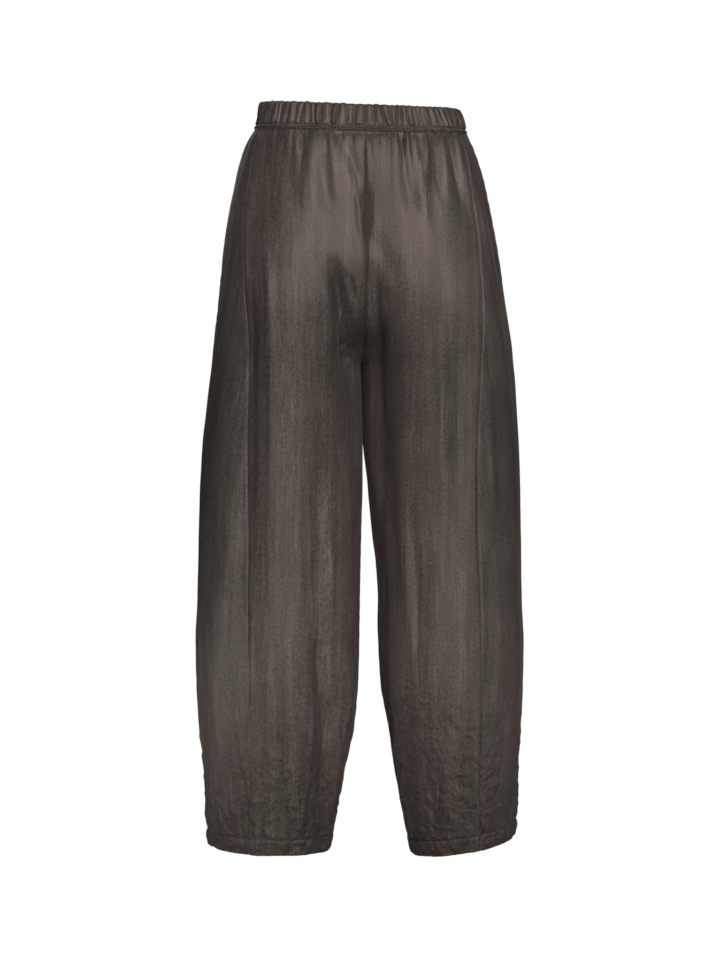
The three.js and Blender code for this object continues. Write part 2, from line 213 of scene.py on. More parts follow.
PANEL_TOP = -16.3
TURNING_ROWS = [-14.7, -15.3, -15.9]
TURNING_SET_IN = 2.3
HEM = -922.0
HEM_DEPTH = 20.0
WAIST_SIDE = 5.0
WAIST_BACK = 5.0
WAIST_FRONT = 16.0
WAIST_TILT = 2.6
WAIST_FADES = -130.0
HEM_SLOPE = {"left": 0.04, "right": 0.17}
HEM_SLOPE_STARTS = -700.0
CLOTH = 1.1
HEM_CLOTH = 2.2
SEAM_HALF_GAP = 0.015
MIDDLE_SEAM_LAP = 0.15
POCKET_TOP = -28.0
POCKET_BOTTOM = -160.0
POCKET_MOUTH = 3.2
PANELS = ("back", "side", "front")
GRAIN_LINE = 95.0
PANEL_STEP = {"back": 2.2, "side": 2.5, "front": 2.5}
EDGE_STEPS = np.array([0.0, 0.7, 1.5, 2.5, 4.0, 6.0, 8.5])


def smooth(t):
    u = np.clip(t, 0.0, 1.0)
    return u * u * (3 - 2 * u)


def table_curve(name):
    """A smooth curve down one column of SECTIONS that never overshoots its rows."""
    x = -SECTIONS[:, 0]
    y = SECTIONS[:, SECTION_COLUMNS.index(name)]
    slope = np.diff(y) / np.diff(x)
    before, after = slope[:-1], slope[1:]
    same = before * after > 0
    inner = np.where(same, 2 * before * after / np.where(same, before + after, 1.0), 0.0)
    tangent = np.concatenate([[slope[0]], inner, [slope[-1]]])

    def at(z):
        here = np.clip(-np.asarray(z, dtype=float), x[0], x[-1])
        i = np.clip(np.searchsorted(x, here, side="left") - 1, 0, len(x) - 2)
        h = x[i + 1] - x[i]
        t = (here - x[i]) / h
        return (
            (1 + 2 * t) * (1 - t) ** 2 * y[i] + t * (1 - t) ** 2 * h * tangent[i]
            + t * t * (3 - 2 * t) * y[i + 1] + t * t * (t - 1) * h * tangent[i + 1]
        )

    return at


section_curves = {name: table_curve(name) for name in SECTION_COLUMNS}


def leg_section(leg, z):
    """The section of one leg at heights z, as columns of numbers."""
    z = np.asarray(z, dtype=float)[:, None]
    side = leg.capitalize()
    out = section_curves["out" + side](z)
    inner = section_curves["in" + side](z)
    back = section_curves["back"](z)
    front = section_curves["front"](z)
    down = np.maximum(0.0, (RISE_CURVE_TOP - z) / (RISE_CURVE_TOP - CROTCH))
    reach = np.sqrt(np.maximum(0.0, 1 - down ** RISE_CURVE_POWER))
    soft = 1 - smooth((RISE_CURVE_TOP - z) / (RISE_CURVE_TOP - GRAIN_SETTLES))
    valley = VALLEY_DEPTH * smooth((VALLEY_FROM - z) / (VALLEY_FROM - VALLEY_TO))
    return {
        "z": z,
        "out": out,
        "inner": inner,
        "back": back,
        "front": front,
        "peak": inner + (out - inner) * section_curves["peak"](z),
        "seamBack": (1 + valley / back) * reach,
        "seamFront": (1 - valley / front) * reach,
        "grainBack": (1 + valley / back) * soft,
        "grainFront": (1 - valley / front) * soft,
        "seams": (
            np.full_like(z, -90.0),
            section_curves["backSeam" + side](z),
            section_curves["frontSeam"](z),
            np.full_like(z, 270.0),
        ),
    }


def section_points(s, degrees, grain=False):
    """Points of the sections, from -90 at the back's inner end to 270 at the front's."""
    in_front = degrees > 90
    half = np.where(in_front, 180 - degrees, degrees)
    deep = np.where(in_front, s["front"], s["back"])
    a = np.radians(np.abs(half))
    sideways = np.sin(a) ** (2 / FULLNESS)
    outwards = np.maximum(0.0, np.cos(a)) ** (2 / FULLNESS)
    key = "grain" if grain else "seam"
    k = VALLEY_NARROWNESS
    seam = np.where(in_front, s[key + "Front"], s[key + "Back"]) ** k
    inner_y = deep * (seam + (1 - seam) * outwards ** k) ** (1 / k)
    x = np.where(
        half >= 0,
        s["peak"] + (s["out"] - s["peak"]) * sideways,
        s["peak"] - (s["peak"] - s["inner"]) * sideways,
    )
    return x, np.where(half >= 0, deep * outwards, inner_y)


def run_along(x, y):
    """Distances along each row of points from its first one."""
    steps = np.hypot(np.diff(x, axis=1), np.diff(y, axis=1))
    return np.concatenate([np.zeros((len(x), 1)), np.cumsum(steps, axis=1)], axis=1)


def spread(s, first, last, share):
    """Points at shares of the way between two seams, evenly along the cloth's grain."""
    fine = np.linspace(0, 1, 400)[None, :]
    degrees = first + (last - first) * fine
    length = run_along(*section_points(s, degrees, grain=True))
    placed = np.empty_like(share)
    for r in range(len(share)):
        placed[r] = np.interp(share[r] * length[r, -1], length[r], degrees[r])
    return section_points(s, placed)


def lift(leg, x, y, s):
    """How far the waist line's sag and tilt and the hem's slope move points up or down."""
    outward = -1 if leg == "left" else 1
    z = s["z"]
    waist = 1 - smooth((BAND_BOTTOM - z) / (BAND_BOTTOM - WAIST_FADES))
    sag = np.where(y < 0, WAIST_BACK * (y / s["back"]) ** 2, WAIST_FRONT * (y / s["front"]) ** 2)
    tilt = WAIST_TILT * outward * x / s["out"]
    hem = smooth((HEM_SLOPE_STARTS - z) / (HEM_SLOPE_STARTS - HEM))
    return waist * (WAIST_SIDE - sag - tilt) + hem * HEM_SLOPE[leg] * (x - s["peak"])


def grid_normals(points, leg):
    """Outward directions of a grid of points, rows down and columns from back to front."""
    across = np.gradient(points, axis=1)
    down = np.gradient(points, axis=0)
    normal = np.cross(down, across) * (-1 if leg == "left" else 1)
    return normal / np.maximum(np.linalg.norm(normal, axis=2, keepdims=True), 1e-9)


def seam_normals(s, seam, line, leg):
    """Outward directions along a seam, alike for the two panels that meet there."""
    x_after, y_after = section_points(s, np.minimum(seam + 1.0, 270.0))
    x_before, y_before = section_points(s, np.maximum(seam - 1.0, -90.0))
    turn = -1 if leg == "left" else 1
    across = np.stack([turn * (x_after - x_before), y_after - y_before, 0 * x_after], axis=2)[:, 0]
    normal = np.cross(np.gradient(line, axis=0), across) * turn
    return normal / np.linalg.norm(normal, axis=1, keepdims=True)


panel_rows = np.concatenate([
    TURNING_ROWS,
    np.arange(PANEL_TOP, -60, -2.2),
    np.arange(-60.0, -300, -3.4),
    [-300.5, -302.2, -303.3, -303.8, CROTCH, -304.8, -306.4],
    np.arange(-309.0, -690, -4.2),
    np.arange(-690.0, -898, -2.6),
    np.arange(-898.6, -905, -0.8),
    np.arange(-907.0, -920, -1.8),
    [-920.2, -921.2, -921.8, HEM],
])


def panel_shares(width, step):
    """Where the columns lie across a panel: close together by the seams, then even."""
    middle = int(round((width.max() - 2 * EDGE_STEPS[-1]) / step))
    edge = np.minimum(EDGE_STEPS[None, :] / width[:, None], EDGE_STEPS[None, :] / EDGE_STEPS[-1] * 0.3)
    inside = np.linspace(0, 1, middle + 1)[None, 1:-1]
    gap = 1 - 2 * edge[:, -1:]
    return np.concatenate([edge, edge[:, -1:] + gap * inside, 1 - edge[:, ::-1]], axis=1)


# Folds of the leg panels
# Satin shows every pull: troughs fan out below the gathered waist, the seat drags towards the
# crotch, and long soft folds run down the legs. They are listed one by one, from one side of the body.
GATHER_COUNT = 60
GATHER_SEED = 11
FOLD_STRENGTH = 1.15
RIPPLES = (
    # depth all over, depth added at the hem, length round the leg, length down it, seed
    (0.55, 0.0, 26.0, 60.0, 5),
    (0.3, 0.5, 9.0, 14.0, 8),
    (0.05, 0.60, 4.2, 7.0, 9),
)
# length round the leg, length down it, seed
CRINKLE_PATCHES = (12.0, 18.0, 15)
CRINKLES = (2.3, 3.4, 12)
RIPPLES_GROW_FROM = -640.0
RIPPLES_GROW_OVER = 220.0
INSEAM_CALM = 8.0
LEG_RADIUS = 100.0
WAVE_COUNT = 7
FOLD_COLUMNS = ("face", "u1", "z1", "u2", "z2", "bow", "width", "depth")
FOLDS = (
    ("back", 86, 20, 94, -116, 2, 5.0, -3.4),
    ("back", 93, 20, 103, -100, 0, 5.0, 1.8),
    ("back", 103, 20, 127, -132, 3, 5.0, -3.8),
    ("back", 112, 10, 135, -118, 2, 5.0, 2.2),
    ("back", 143, -80, 154, -190, 0, 6.0, 1.8),
    ("back", 50, 15, 52, -48, 0, 3.6, 2.4),
    ("back", 44, 20, 46, -58, 0, 3.6, -2.8),
    ("back", 67, 20, 72, -66, 0, 4.2, -3.0),
    ("back", -79, 20, -79, -58, 0, 4.0, -3.0),
    ("back", -35, 20, -37, -50, 0, 4.0, -2.4),
    ("back", -96, -24, -85, -130, 2, 11.0, -2.4),
    ("back", -56, -34, -40, -138, 2, 10.0, -2.6),
    ("back", 45, -40, 60, -136, 0, 9.0, -2.8),
    ("back", 78, -50, 84, -150, 0, 9.0, -1.8),
    ("back", -112, -30, -122, -150, 0, 9.0, -1.8),
    ("back", -12, -80, -5, -162, 1, 3.6, 1.6),
    ("back", 1, -76, 2, -166, 0, 4.4, -2.6),
    ("back", 2, -140, 40, -214, 0, 14.0, -2.2),
    ("back", -46, -165, -12, -360, -4, 10.0, -12.0),
    ("back", -30, -18, -2, -96, 0, 7.0, -1.8),
    ("back", -22, -190, -8, -236, 2, 2.8, -2.2),
    ("back", -28, -196, -15, -246, 2, 4.0, 1.6),
    ("back", 9, -170, 20, -330, 2, 9.0, -4.4),
    ("back", 3, -250, 11, -530, 0, 20.0, -12.0),
    ("back", 24, -262, 28, -400, 2, 7.0, 2.2),
    ("back", -26, -288, -9, -282, 0, 2.6, -1.3),
    ("back", -28, -303, -8, -296, 0, 2.6, -1.5),
    ("back", -26, -319, -8, -310, 0, 2.8, -1.2),
    ("back", -122, -110, -120, -520, -2, 6.0, 3.0),
    ("back", -152, -140, -154, -720, -2, 17.0, -11.0),
    ("back", -126, -600, -133, -830, 0, 4.5, 2.8),
    ("back", -134, -580, -142, -800, 0, 5.0, -2.0),
    ("back", -58, -400, -55, -720, 3, 13.0, -2.8),
    ("back", -90, -300, -84, -640, 0, 24.0, 1.6),
    ("back", -42, -506, -42, -604, 0, 3.2, 1.6),
    ("back", -70, -420, -68, -640, 0, 4.0, 1.0),
    ("back", -56, -630, -44, -800, 2, 10.0, -10.0),
    ("back", -50, -760, -62, -880, 0, 10.0, -2.6),
    ("back", -36, -700, -58, -925, 0, 10.0, -8.0),
    ("back", -24, -650, -16, -800, 0, 8.0, 4.5),
    ("back", -22, -760, -44, -925, 0, 7.0, 4.0),
    ("back", 76, -770, 92, -925, 0, 12.0, -4.0),
    ("back", -104, -760, -112, -900, 0, 12.0, -1.8),
    ("back", 44, -430, 62, -700, 2, 6.5, 2.4),
    ("back", 62, -500, 68, -760, 0, 3.8, -1.8),
    ("back", 33, -797, 68, -745, 2, 4.2, -3.2),
    ("back", 36, -806, 72, -760, 2, 4.2, 1.8),
    ("back", 28, -772, 60, -712, 2, 5.0, -2.4),
    ("back", 108, -230, 128, -540, 3, 15.0, -3.2),
    ("back", 92, -240, 98, -560, 0, 9.0, 2.0),
    ("back", 154, -260, 160, -560, 0, 9.0, 1.8),
    ("back", 156, -520, 152, -800, 0, 6.0, -1.8),
    ("back", 102, -730, 128, -870, 0, 15.0, -3.2),
    ("back", -168, -190, -176, -420, 0, 9.0, -2.2),
    ("back", -172, -430, -180, -700, 0, 10.0, 1.8),
    ("back", -172, -700, -164, -880, 0, 7.0, -1.6),
    ("left", -46, -60, -56, -240, 0, 10.0, -2.4),
    ("left", 2, -170, -14, -420, 0, 14.0, -2.8),
    ("left", 44, -260, 36, -620, 0, 14.0, 2.4),
    ("left", -40, -520, -34, -800, 0, 11.0, -2.2),
    ("left", 10, -640, 16, -880, 0, 12.0, -2.2),
    ("right", -52, -50, -60, -250, 0, 10.0, -2.4),
    ("right", -8, -180, -18, -400, 0, 13.0, -2.8),
    ("right", 40, -280, 30, -600, 0, 14.0, 2.4),
    ("right", -36, -480, -30, -760, 0, 12.0, -2.2),
    ("right", 12, -660, 20, -890, 0, 12.0, -2.2),
    ("front", -104, 20, -112, -150, 0, 6.0, -3.2),
    ("front", -58, 20, -66, -120, 0, 6.0, -2.8),
    ("front", 40, 20, 46, -110, 0, 5.0, -2.8),
    ("front", 96, 20, 112, -170, 0, 7.0, -3.2),
    ("front", -30, -60, -44, -190, 0, 11.0, -2.0),
    ("front", 70, -60, 82, -190, 0, 11.0, -2.0),
    ("front", -70, -170, -12, -296, 5, 10.0, -4.2),
    ("front", 66, -180, 12, -296, -5, 10.0, -4.2),
    ("front", -96, -220, -24, -316, 6, 6.0, -2.0),
    ("front", 92, -226, 24, -316, -6, 6.0, -2.0),
    ("front", -118, -200, -104, -560, 0, 14.0, -3.0),
    ("front", -82, -330, -80, -680, 0, 16.0, 2.4),
    ("front", -46, -420, -52, -720, 0, 11.0, -2.4),
    ("front", 116, -220, 108, -540, 0, 14.0, -3.0),
    ("front", 84, -330, 86, -660, 0, 16.0, 2.4),
    ("front", 58, -470, 62, -740, 0, 10.0, -2.2),
    ("front", -36, -690, -70, -820, 0, 12.0, -3.4),
    ("front", 50, -700, 84, -830, 0, 12.0, -3.4),
    ("front", -130, -640, -138, -880, 0, 10.0, -2.2),
    ("front", 140, -600, 146, -860, 0, 10.0, -2.2),
)
FACE_DIRECTIONS = {"back": (0, -1), "front": (0, 1), "left": (-1, 0), "right": (1, 0)}


def fold_depths(points, normals):
    """How far the hand-placed folds move each point of a panel in or out."""
    x, y, z = points[..., 0], points[..., 1], points[..., 2]
    depth = np.zeros_like(x)
    for row in FOLDS:
        f = dict(zip(FOLD_COLUMNS, row))
        towards = FACE_DIRECTIONS[f["face"]]
        facing = smooth((normals[..., 0] * towards[0] + normals[..., 1] * towards[1] - 0.15) / 0.4)
        u = x if towards[0] == 0 else y
        du, dz = f["u2"] - f["u1"], f["z2"] - f["z1"]
        length = math.hypot(du, dz)
        t = ((u - f["u1"]) * du + (z - f["z1"]) * dz) / length ** 2
        away = ((u - f["u1"]) * dz - (z - f["z1"]) * du) / length - f["bow"] * 4 * t * (1 - t)
        ends = smooth(t / 0.28) * smooth((1 - t) / 0.4)
        depth += FOLD_STRENGTH * f["depth"] * facing * ends * np.exp(-((away / f["width"]) ** 2))
    return depth


waist_half = {}
for leg_name in ("left", "right"):
    round_degrees = np.linspace(-90, 270, 2000)
    top_points = section_points(leg_section(leg_name, [PANEL_TOP]), round_degrees[None, :])
    waist_half[leg_name] = (round_degrees, run_along(*top_points)[0])


def gather_depths(leg, along, z):
    """Troughs below the waistband, of uneven width, depth, lean and length."""
    rng = np.random.default_rng(GATHER_SEED + (leg == "right"))
    count = GATHER_COUNT // 2
    total = waist_half[leg][1][-1]
    below = np.maximum(0.0, PANEL_TOP - z)
    depth = np.zeros(np.broadcast(along, z).shape)
    for i in range(count):
        centre = (i + 0.5 + rng.uniform(-0.34, 0.34)) * total / count
        lean = rng.uniform(-0.03, 0.03)
        width = rng.uniform(2.2, 3.6) * (1 + below / rng.uniform(35, 80))
        reach = rng.choice([14, 20, 26, 38, 60, 90]) * rng.uniform(0.85, 1.15)
        deep = rng.uniform(1.6, 4.0)
        away = (along - centre - lean * below) / width
        depth -= deep * np.exp(-np.abs(away) ** 1.5) * np.exp(-((below / reach) ** 1.4))
        tiny = (along - centre - total / count * 0.5) / 2.0
        depth -= 1.3 * np.exp(-tiny ** 2) * np.exp(-((below / 8.0) ** 1.5))
    return depth


def waves(u, v, seed):
    """Smooth uneven ripples between about -1 and 1, the same at every run."""
    rng = np.random.default_rng(seed)
    total = np.zeros(np.broadcast(u, v).shape)
    for _ in range(WAVE_COUNT):
        turn = rng.uniform(0, 2 * math.pi)
        rate = rng.uniform(0.6, 1.7)
        total += np.sin(rate * (u * math.cos(turn) + v * math.sin(turn)) + rng.uniform(0, 6.3))
    return total / math.sqrt(WAVE_COUNT) / 1.2


def ripple_depths(around_leg, z):
    """Soft ripples all over, and crinkles in patches that grow towards the hem."""
    low = smooth((RIPPLES_GROW_FROM - z) / RIPPLES_GROW_OVER)
    depth = np.zeros_like(z)
    for all_over, at_hem, length_round, length_down, seed in RIPPLES:
        depth += (all_over + at_hem * low) * waves(around_leg / length_round, z / length_down, seed)
    length_round, length_down, seed = CRINKLE_PATCHES
    patches = smooth(0.5 + waves(around_leg / length_round, z / length_down, seed))
    length_round, length_down, seed = CRINKLES
    return depth + low * patches * waves(around_leg / length_round, z / length_down, seed)


# Seams and hems of the leg panels
# The panels are sewn edge to edge with their turnings inside, which draws a grooved, slightly puckered
# line. The pockets' mouths are left open between side and front, and the hems are turned up 20 mm.
SEAM_GROOVE = {"inseam": 1.8, "side": 1.5}
SEAM_GROOVE_WIDTH = 1.6
SEAM_PUCKER = {"inseam": 0.15, "side": 0.25}
SEAM_PUCKER_LENGTH = {"inseam": 3.1, "side": 2.6}
TURNING_RIDGE = 0.45
HEM_GROOVE = 1.8
HEM_GROOVE_WIDTH = 1.2
HEM_FULLNESS = 0.5
HEM_EDGE_HEIGHT = 2.2
THIGHS_TOUCH = (-285.0, -520.0)
THIGHS_TOUCH_WIDTH = 8.0


def thighs_touching(x, z, s):
    """1 where the two thighs lie against each other, fading to 0 away from there."""
    upper, lower = THIGHS_TOUCH
    near = np.exp(-(((x - s["inner"]) / THIGHS_TOUCH_WIDTH) ** 2))
    return near * smooth((upper - z) / 15) * smooth((z - lower) / 60)


def seam_depths(from_first, from_last, z, k):
    """A groove along both seams of a panel, with puckers beside it."""
    depth = np.zeros_like(z)
    for distance, seam in ((from_first, k), (from_last, (k + 1) % 3)):
        kind = "inseam" if seam == 0 else "side"
        pull = np.sin(z / SEAM_PUCKER_LENGTH[kind] + 2.2 * np.sin(z / 31 + seam))
        groove = SEAM_GROOVE[kind] * (0.25 + 0.75 * smooth((PANEL_TOP - z) / 20))
        depth -= groove * np.exp(-((distance / SEAM_GROOVE_WIDTH) ** 2))
        depth += SEAM_PUCKER[kind] * pull * np.exp(-((distance - 4) / 5.0) ** 2)
    return depth


def hem_depths(around_leg, z, free):
    """The stitched groove, the fuller cloth under it, its roping and its rounded edge."""
    above = z - (HEM + HEM_DEPTH)
    roping = np.sin(around_leg / 1.7 + above / 4.0 + 1.5 * np.sin(around_leg / 13))
    roping = free * roping * (0.5 + 0.5 * waves(around_leg / 11, above / 9, 3))
    depth = HEM_FULLNESS * smooth(-above / 3) - HEM_GROOVE * np.exp(-((above / HEM_GROOVE_WIDTH) ** 2))
    depth += 0.5 * roping * smooth(-above / 5) * smooth((above + HEM_DEPTH) / 6 + 0.4)
    depth += 0.3 * roping * np.exp(-((above - 4) / 4.0) ** 2)
    return depth - 0.5 * smooth((HEM + HEM_EDGE_HEIGHT - z) / HEM_EDGE_HEIGHT) ** 2


def set_edges(moved, panel, outward):
    """Laps the middle seams a little, then draws each edge back slightly, and more at a pocket's mouth."""
    if panel != "side":
        middle_seam = 0 if panel == "back" else -1
        moved[panel_rows > CROTCH, middle_seam, 0] = -outward * MIDDLE_SEAM_LAP
    down = np.clip((panel_rows - POCKET_TOP) / (POCKET_BOTTOM - POCKET_TOP), 0.0, 1.0)
    mouth = np.sin(math.pi * down) * POCKET_MOUTH / 2
    for edge, inwards, at_pocket in ((0, 1, panel == "front"), (-1, -1, panel == "side")):
        step = moved[:, edge + 3 * inwards] - moved[:, edge]
        step /= np.maximum(np.linalg.norm(step, axis=1, keepdims=True), 1e-9)
        back = SEAM_HALF_GAP + mouth * at_pocket
        for column in range(3):
            moved[:, edge + column * inwards] += step * (back * (1 - column / 3))[:, None]


def cloth_across(x, y, share, width, panel):
    """Distances across the cloth, from a grain line on back and front panels or a side panel's middle."""
    if panel == "side":
        return (share - 0.5) * width[:, None]
    run = run_along(x, y)
    turn = 1 if panel == "back" else -1
    middle = np.array([np.interp(GRAIN_LINE, x[i][::turn], run[i][::turn]) for i in range(len(x))])
    return run - middle[:, None]


def panel_grid(leg, panel):
    """The outer points of one panel in mm, its cloth coordinates and its thickness at each row."""
    s = leg_section(leg, panel_rows)
    k = PANELS.index(panel)
    first, last = s["seams"][k], s["seams"][k + 1]
    probe = np.tile(np.linspace(0, 1, 60), (len(panel_rows), 1))
    width = run_along(*spread(s, first, last, probe))[:, -1]
    share = panel_shares(width, PANEL_STEP[panel])
    x, y = spread(s, first, last, share)
    outward = -1 if leg == "left" else 1
    base = np.stack([outward * x, y, s["z"] + lift(leg, x, y, s)], axis=2)
    normals = grid_normals(base, leg)
    for column, seam in ((0, first), (-1, last)):
        normals[:, column] = seam_normals(s, seam, base[:, column], leg)

    ends = [np.interp(seam[0, 0], *waist_half[leg]) for seam in (first, last)]
    along = ends[0] + (ends[1] - ends[0]) * share
    z = s["z"] + 0 * share
    around_leg = np.arctan2(y, x - s["peak"]) * LEG_RADIUS
    from_first = share * width[:, None]
    from_last = (1 - share) * width[:, None]
    from_inseam = {"back": from_first, "front": from_last}.get(panel, INSEAM_CALM + 0 * share)
    free = smooth(from_inseam / INSEAM_CALM)
    depth = gather_depths(leg, along, z) + fold_depths(base, normals) + free * ripple_depths(around_leg, z)

    below = np.maximum(0.0, PANEL_TOP - z)
    depth = np.clip(depth, -0.7 - 0.5 * below, 0.7 + 0.3 * below)
    depth -= TURNING_SET_IN * smooth(z - PANEL_TOP)
    apart = 1 - thighs_touching(x, z, s)
    depth = np.where(depth < 0, depth * apart, depth)
    depth += apart * seam_depths(from_first, from_last, z, k)
    if panel != "front":
        depth += TURNING_RIDGE * (smooth(from_last / 2.5) - smooth((from_last - 10) / 3))
    depth += hem_depths(around_leg, z, free)

    moved = base + normals * depth[..., None]
    moved[..., 0] = outward * np.maximum(outward * moved[..., 0], s["inner"])
    set_edges(moved, panel, outward)
    thickness = CLOTH + (HEM_CLOTH - CLOTH) * smooth((HEM + HEM_DEPTH + 1.5 - panel_rows) / 1.5)
    return moved, cloth_across(x, y, share, width, panel), z, thickness


def cloth_piece(name, points, faces, cloth):
    """An object of smooth four-sided faces: points in mm, and each face corner's place on the cloth in m."""
    mesh = bpy.data.meshes.new(name)
    mesh.vertices.add(len(points))
    mesh.vertices.foreach_set("co", (points / 1000).ravel())
    mesh.loops.add(faces.size)
    mesh.loops.foreach_set("vertex_index", np.ascontiguousarray(faces).ravel())
    mesh.polygons.add(len(faces))
    mesh.polygons.foreach_set("loop_start", np.arange(0, faces.size, 4))
    mesh.polygons.foreach_set("use_smooth", np.ones(len(faces), dtype=bool))
    mesh.update(calc_edges=True)
    layer = mesh.uv_layers.new(name="cloth")
    layer.data.foreach_set("uv", np.ascontiguousarray(cloth).ravel())
    mesh.validate()
    return place_object(name, mesh)


def shell_piece(name, outer, inner, cloth_u, cloth_v, leg):
    """A closed thin wall between two grids of points, with its cloth coordinates, all in mm."""
    rows, columns = outer.shape[:2]
    points = np.concatenate([outer.reshape(-1, 3), inner.reshape(-1, 3)])
    index = np.arange(rows * columns).reshape(rows, columns)
    other = index + rows * columns

    def quads(grid):
        return np.stack([grid[:-1, :-1], grid[1:, :-1], grid[1:, 1:], grid[:-1, 1:]], axis=-1).reshape(-1, 4)

    def rim(a, b):
        return np.stack([a[:-1], a[1:], b[1:], b[:-1]], axis=-1)

    faces = np.concatenate([
        quads(index),
        quads(other)[:, ::-1],
        rim(index[0], other[0]),
        rim(index[-1], other[-1])[:, ::-1],
        rim(index[:, 0], other[:, 0])[:, ::-1],
        rim(index[:, -1], other[:, -1]),
    ])
    if leg == "left":
        faces = faces[:, ::-1]
    flat = np.stack([np.tile(cloth_u.ravel(), 2), np.tile(cloth_v.ravel(), 2)], axis=1) / 1000
    return cloth_piece(name, points, faces, flat[faces.ravel()])


# Satin
# The panels and the waistband are of one dark taupe satin: two dye tones that run in upright streaks,
# raised slub threads, a fine weave and a low, warm sheen.
class Socket:
    """A socket of a material, on which plain arithmetic adds Math nodes."""

    def __init__(self, tree, socket):
        self.tree = tree
        self.socket = socket

    def math(self, operation, *others):
        node = self.tree.nodes.new("ShaderNodeMath")
        node.operation = operation
        for slot, value in zip(node.inputs, (self, *others)):
            if isinstance(value, Socket):
                self.tree.links.new(value.socket, slot)
            else:
                slot.default_value = value
        return Socket(self.tree, node.outputs[0])

    def __add__(self, other):
        return self.math("ADD", other)

    __radd__ = __add__

    def __mul__(self, other):
        return self.math("MULTIPLY", other)

    __rmul__ = __mul__

    def __sub__(self, other):
        return self.math("SUBTRACT", other)

    def __rsub__(self, other):
        return (self * -1.0) + other

    def __pow__(self, other):
        return self.math("POWER", other)

    def between(self, low, high):
        """0 at low and 1 at high, with soft ends."""
        settings = {"interpolation_type": "SMOOTHSTEP"}
        return self.node("ShaderNodeMapRange", settings, Value=self, From_Min=low, From_Max=high)

    def node(self, kind, settings, **inputs):
        return add_node(self.tree, kind, settings, inputs)[0]


def add_node(tree, kind, settings, inputs):
    """A node with its settings made first and then the values or links of its sockets."""
    node = tree.nodes.new(kind)
    for name, value in settings.items():
        setattr(node, name, value)
    for name, value in inputs.items():
        slot = next(i for i in node.inputs if i.name == name.replace("_", " ") and i.enabled)
        if isinstance(value, Socket):
            tree.links.new(value.socket, slot)
        else:
            slot.default_value = value
    return [Socket(tree, output) for output in node.outputs]


def mixed(tree, factor, a, b):
    """A mix of two colours or colour sockets."""
    inputs = {"Factor": factor, "A": a, "B": b}
    return add_node(tree, "ShaderNodeMix", {"data_type": "RGBA"}, inputs)[COLOUR_RESULT]


COLOUR_RESULT = 2
SATIN_BROWN = (0.066, 0.050, 0.044, 1.0)
SATIN_GREY = (0.056, 0.049, 0.041, 1.0)
SATIN_DEEP = (0.026, 0.020, 0.017, 1.0)
CRUMPLE_STARTS = -0.62
CRUMPLE_FULL = -0.86


def satin(name, offset):
    """Dark taupe satin: two dye tones in upright streaks, raised slub threads and a fine weave."""
    material, tree, shader = new_material(name)
    uv = add_node(tree, "ShaderNodeUVMap", {"uv_map": "cloth"}, {})[0]
    u, v, _ = add_node(tree, "ShaderNodeSeparateXYZ", {}, {"Vector": uv})

    def streaks(across, down, shift, detail):
        place = add_node(tree, "ShaderNodeCombineXYZ", {}, {
            "X": u * across, "Y": v * down, "Z": offset + shift,
        })[0]
        return add_node(tree, "ShaderNodeTexNoise", {}, {
            "Vector": place, "Scale": 1.0, "Detail": detail, "Roughness": 0.55,
        })[0]

    slub = streaks(430.0, 24.0, 0.0, 3.0).between(0.4, 0.66)
    long_slub = streaks(190.0, 8.0, 5.0, 4.0).between(0.36, 0.66)
    thread = streaks(1300.0, 60.0, 3.1, 2.0).between(0.3, 0.7)
    band = streaks(75.0, 2.6, 7.7, 3.0).between(0.34, 0.66)
    dye = streaks(17.0, 2.0, 12.3, 2.0)
    grain = streaks(560.0, 260.0, 21.0, 3.0).between(0.3, 0.7)
    crumple = streaks(120.0, 90.0, 31.0, 5.0)
    low = v.between(CRUMPLE_STARTS, CRUMPLE_FULL)

    tone = mixed(tree, dye.between(0.36, 0.64), SATIN_BROWN, SATIN_GREY)
    tone = mixed(tree, band * 0.5, tone, SATIN_DEEP)
    patchy = streaks(40.0, 18.0, 41.0, 2.0).between(0.35, 0.65)
    light = 0.35 + slub * patchy * 0.7 + long_slub * 0.35 + thread * 0.2 + grain * 1.1
    scaled = {"Vector": tone, "Scale": light}
    coloured = add_node(tree, "ShaderNodeVectorMath", {"operation": "SCALE"}, scaled)[0]
    tree.links.new(coloured.socket, shader.inputs["Base Color"])
    roughness = 0.45 + band * 0.05 + slub * 0.04 + grain * 0.06
    tree.links.new(roughness.socket, shader.inputs["Roughness"])

    threads = slub * patchy * 0.09 + long_slub * 0.05 + thread * 0.02 + grain * 0.08
    height = threads + crumple * (0.35 + low * 6.0)
    bump = add_node(tree, "ShaderNodeBump", {}, {"Strength": 1.0, "Distance": 0.001, "Height": height})[0]
    tree.links.new(bump.socket, shader.inputs["Normal"])
    shader.inputs["Specular IOR Level"].default_value = 0.64
    shader.inputs["Specular Tint"].default_value = (1.0, 0.82, 0.70, 1.0)
    shader.inputs["Sheen Weight"].default_value = 0.06
    shader.inputs["Sheen Roughness"].default_value = 0.4
    shader.inputs["Sheen Tint"].default_value = (0.8, 0.74, 0.7, 1.0)
    return material


panel_points = {}
for leg_name in ("left", "right"):
    for number, panel_name in enumerate(PANELS):
        points, cloth_u, cloth_v, thickness = panel_grid(leg_name, panel_name)
        directions = grid_normals(points, leg_name)
        panel_points[f"{panel_name}_{leg_name}"] = (points, directions)
        inner = points - directions * thickness[:, None, None]
        piece = shell_piece(f"{panel_name}_panel_{leg_name}", points, inner, cloth_u, cloth_v, leg_name)
        offset = number * 5.0 + (leg_name == "left") * 2.3
        piece.data.materials.append(satin(f"satin_{panel_name}_{leg_name}", offset))
        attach(piece, "root")
        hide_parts(f"{panel_name}_{leg_name}")

